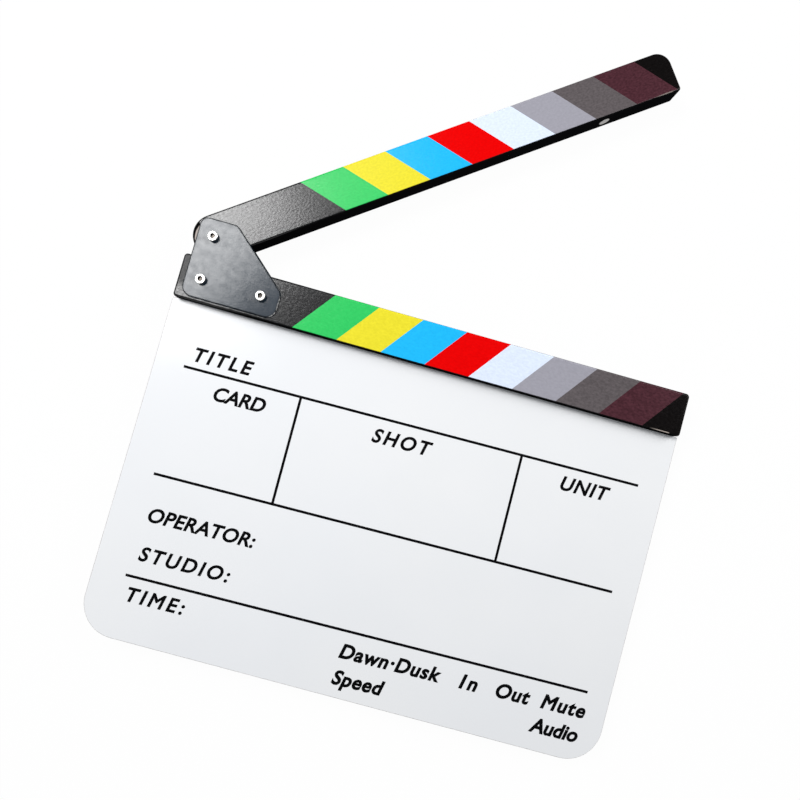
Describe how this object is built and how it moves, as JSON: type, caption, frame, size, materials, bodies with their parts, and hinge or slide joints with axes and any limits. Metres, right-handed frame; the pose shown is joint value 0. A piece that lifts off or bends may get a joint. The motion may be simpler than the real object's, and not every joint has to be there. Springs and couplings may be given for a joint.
{
  "type": "clapperboard",
  "caption": "Hinged film slate: white acrylic writing board under a fixed wooden stick, with a striped clap stick that swings on a bolted plate hinge and snaps shut on magnets.",
  "frame": {"origin": "middle of the open part's box in X and Y, on the plane that the part lies on in Z", "axes": "+X along the sticks to their free ends, +Y up the writing face, +Z out of the writing face"},
  "size_m": [0.3, 0.4051, 0.0257],
  "materials": {
    "white_acrylic": "polished white acrylic with printed black rules",
    "stick_paint": "satin black paint over fine-grained hardwood, printed with slanted colour stripes",
    "plate_paint": "satin black paint",
    "plated_steel": "bright zinc plating",
    "nylon": "natural nylon",
    "bush_brass": "turned brass",
    "magnet_nickel": "nickel plating"
  },
  "bodies": {
    "slate": {"slate_board": "white_acrylic", "lower_stick": "stick_paint", "front_hinge_plate": "plate_paint", "rear_hinge_plate": "plate_paint", "pivot_screw": "plated_steel", "base_screw_left": "plated_steel", "base_screw_right": "plated_steel", "pivot_washer": "plated_steel", "base_washer_left": "plated_steel", "base_washer_right": "plated_steel", "pivot_lock_nut": "plated_steel", "pivot_nut_insert": "nylon", "base_nut_left": "plated_steel", "base_nut_right": "plated_steel", "front_friction_washer": "nylon", "rear_friction_washer": "nylon", "base_magnet": "magnet_nickel"},
    "clapper": {"clap_stick": "stick_paint", "pivot_bush": "bush_brass", "clap_magnet": "magnet_nickel"}
  },
  "joints": [
    {"name": "clap_hinge", "type": "hinge", "parent": "slate", "child": "clapper", "pos_m": [-0.135, 0.02734, 0.014], "axis": [0, 0, 1], "range_deg": [-36.54, 63.6]}
  ]
}
